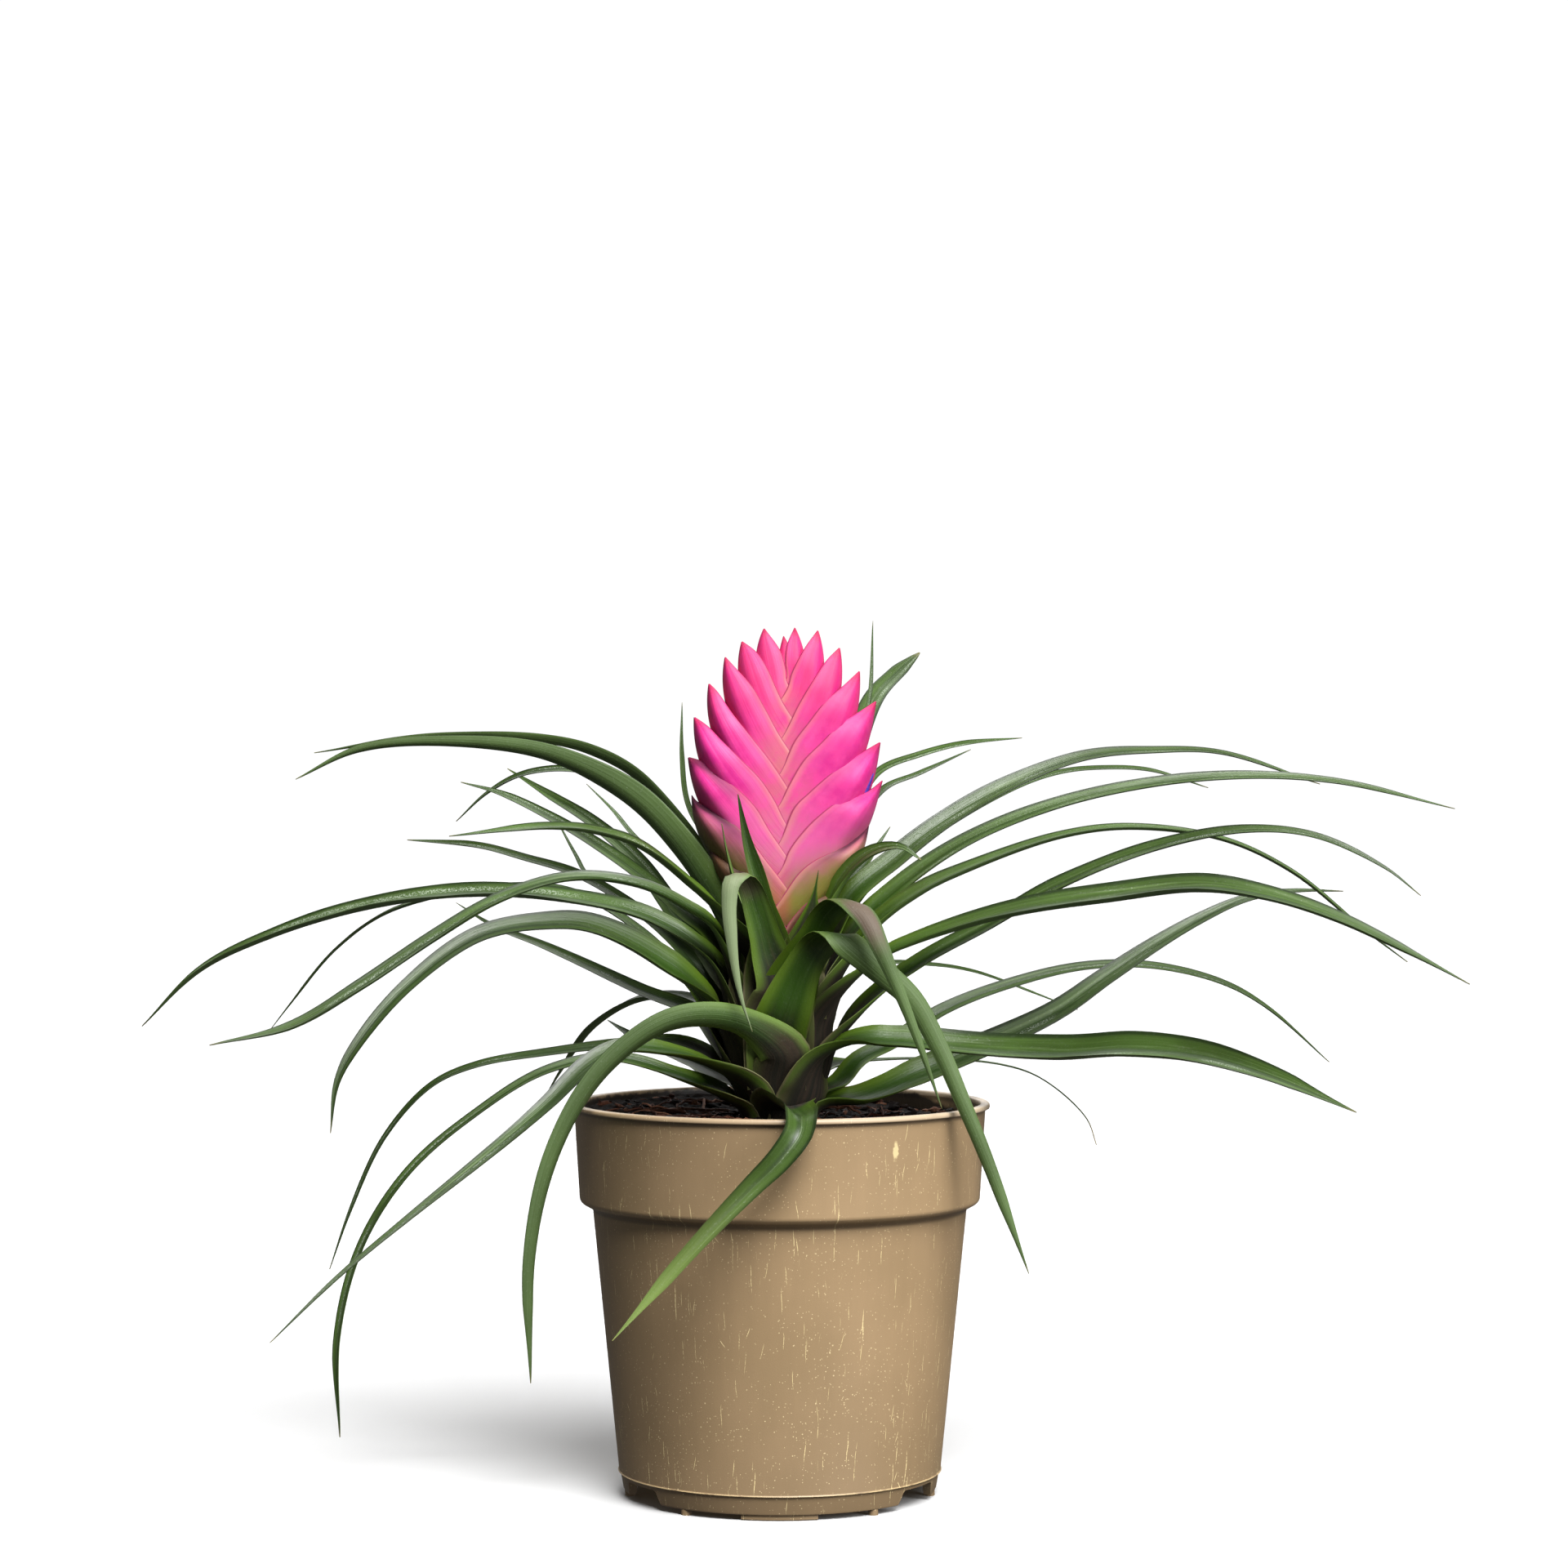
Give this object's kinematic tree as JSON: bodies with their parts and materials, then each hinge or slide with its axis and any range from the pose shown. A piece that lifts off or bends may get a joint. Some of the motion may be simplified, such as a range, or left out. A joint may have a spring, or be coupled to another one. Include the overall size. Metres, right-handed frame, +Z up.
{
  "type": "potted tillandsia",
  "caption": "Potted air plant: a flat, quill-shaped pink flower spike over a rosette of narrow arching leaves in a tapered round nursery pot.",
  "frame": {"origin": "on the pot's axis, in the plane that its feet stand on", "axes": "+Z up along the pot's axis, +Y away from the viewer, so the flat face of the flower spike looks along -Y, +X to the viewer's right along the widest spread of the leaves"},
  "size_m": [0.2917, 0.1467, 0.1894],
  "materials": {
    "pot": "semi-matte moulded taupe plastic with pale gold fibre streaks and flecks",
    "soil": "dark moist bark and peat mix, rough",
    "crown": "dark maroon packed leaf sheaths with olive margins",
    "leaf": "deep green, finely striated, with a soft sheen and maroon-brown bases",
    "bract": "hot pink waxy bracts, greener towards the foot of the spike",
    "bud": "deep violet, satin"
  },
  "bodies": {
    "root": {"pot": "pot", "soil": "soil", "crown": "crown", "flower_spike": "bract", "flower_bud": "bud", "leaf_left_1": "leaf", "leaf_left_2": "leaf", "leaf_left_3": "leaf", "leaf_left_4": "leaf", "leaf_left_5": "leaf", "leaf_left_6": "leaf", "leaf_left_7": "leaf", "leaf_left_8": "leaf", "leaf_left_9": "leaf", "leaf_left_10": "leaf", "leaf_left_11": "leaf", "leaf_left_12": "leaf", "leaf_left_13": "leaf", "leaf_left_14": "leaf", "leaf_left_15": "leaf", "leaf_left_16": "leaf", "leaf_left_17": "leaf", "leaf_right_1": "leaf", "leaf_right_2": "leaf", "leaf_right_3": "leaf", "leaf_right_4": "leaf", "leaf_right_5": "leaf", "leaf_right_6": "leaf", "leaf_right_7": "leaf", "leaf_right_8": "leaf", "leaf_right_9": "leaf", "leaf_back_1": "leaf", "leaf_back_2": "leaf", "leaf_back_3": "leaf", "leaf_back_4": "leaf", "leaf_back_5": "leaf", "leaf_back_6": "leaf", "leaf_back_7": "leaf", "leaf_back_8": "leaf", "leaf_back_9": "leaf", "leaf_front_1": "leaf", "leaf_front_2": "leaf", "leaf_front_3": "leaf", "leaf_front_4": "leaf", "leaf_front_5": "leaf", "leaf_front_6": "leaf", "leaf_front_7": "leaf", "leaf_front_8": "leaf", "leaf_front_9": "leaf", "leaf_front_10": "leaf"}
  },
  "joints": []
}
